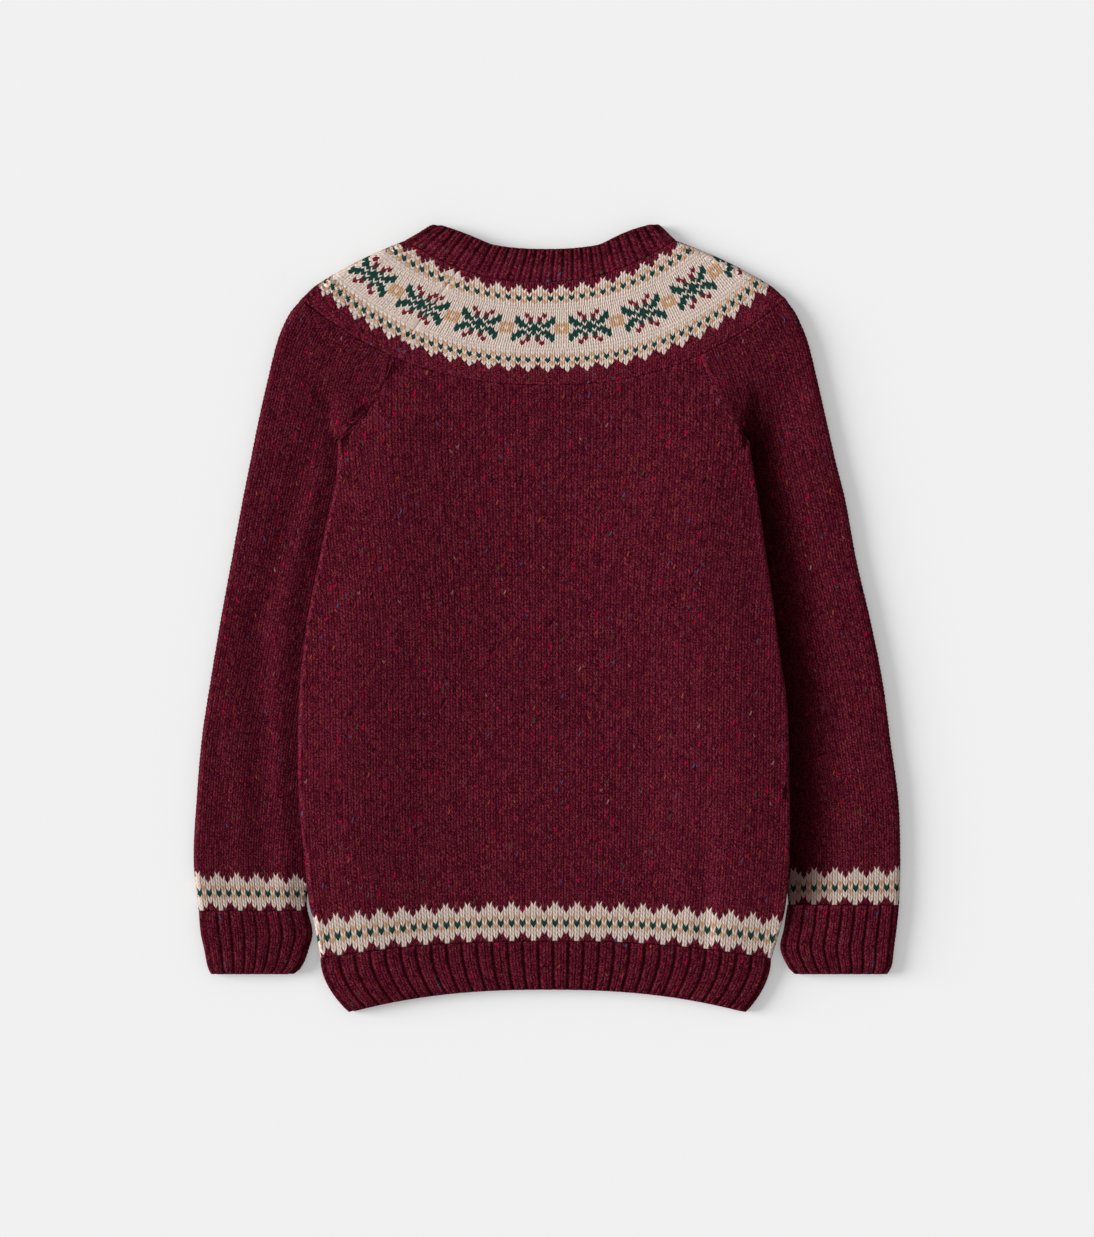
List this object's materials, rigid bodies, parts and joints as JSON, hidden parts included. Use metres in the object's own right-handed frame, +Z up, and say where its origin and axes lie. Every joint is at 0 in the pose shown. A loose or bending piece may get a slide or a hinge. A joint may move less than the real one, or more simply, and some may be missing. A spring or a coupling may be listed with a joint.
{
  "type": "fair isle jumper laid flat",
  "caption": "Round-yoke knitted jumper with raglan sleeves, laid flat with its back up; ribbed hem, cuffs and neckband, star yoke and patterned bands.",
  "frame": {"origin": "middle of the bounding box, on the surface that the jumper lies on", "axes": "+Y from the hem to the neck, +Z up from the surface, +X to the right seen from above with the back up"},
  "size_m": [0.4956, 0.554, 0.0145],
  "materials": {
    "body_wool": "wine tweed wool in stocking stitch, with flecks of red, rust, blue, green and black",
    "rib_wool": "wine tweed wool in rib",
    "yoke_wool": "oatmeal wool with star and dot patterns in bottle green, gold and wine"
  },
  "bodies": {
    "root": {"back": "body_wool", "front": "body_wool", "hem_rib_back": "rib_wool", "hem_rib_front": "rib_wool", "sleeve_left": "body_wool", "cuff_left": "rib_wool", "sleeve_right": "body_wool", "cuff_right": "rib_wool", "yoke": "yoke_wool", "neckband": "rib_wool"}
  },
  "joints": []
}
